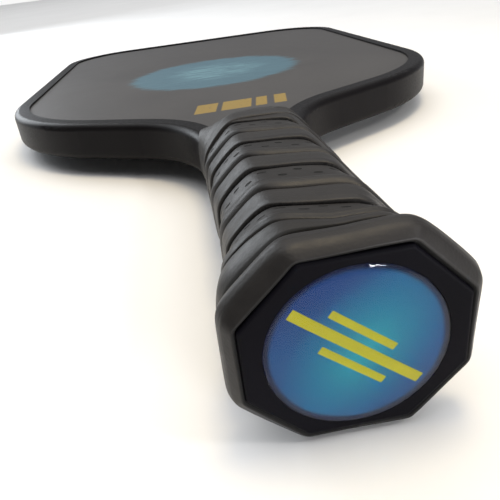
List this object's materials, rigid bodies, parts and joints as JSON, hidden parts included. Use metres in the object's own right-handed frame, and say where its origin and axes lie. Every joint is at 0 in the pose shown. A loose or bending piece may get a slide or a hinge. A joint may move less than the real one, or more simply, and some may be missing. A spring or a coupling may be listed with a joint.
{
  "type": "pickleball paddle",
  "caption": "Racket-sport paddle: honeycomb-cored flat head with edge guard, octagonal handle with a spiral cushion grip and a domed badge on the butt cap.",
  "frame": {"origin": "centre of the whole paddle's bounding box, on the head panel's mid-plane", "axes": "+Y from the butt to the head, +Z out of the front face, +X to the right seen from the front with the head up"},
  "size_m": [0.1996, 0.4, 0.037],
  "materials": {
    "core": "extruded polypropylene honeycomb",
    "film": "cured adhesive film",
    "front_skin": "painted fibreglass laminate, matte, with a printed disc and bars",
    "back_skin": "painted fibreglass laminate, matte",
    "guard": "satin thermoplastic extrusion",
    "bond": "cured adhesive",
    "staple_wire": "galvanised wire",
    "pallet": "rigid polyurethane foam",
    "cap": "moulded, semi-matte",
    "badge_print": null,
    "badge_resin": "clear domed resin",
    "felt": "non-woven felt",
    "wrap": "synthetic leather, perforated and ribbed",
    "collar": "smooth elastic tape"
  },
  "bodies": {
    "paddle": {"honeycomb_core": "core", "film_front": "film", "film_back": "film", "skin_front": "front_skin", "skin_back": "back_skin", "edge_guard": "guard", "guard_bond": "bond", "cap_staples": "staple_wire", "pallet_front": "pallet", "pallet_back": "pallet", "butt_cap": "cap", "badge_foil": "badge_print", "badge_dome": "badge_resin", "grip_felt": "felt", "grip_wrap": "wrap", "grip_collar": "collar"}
  },
  "joints": []
}
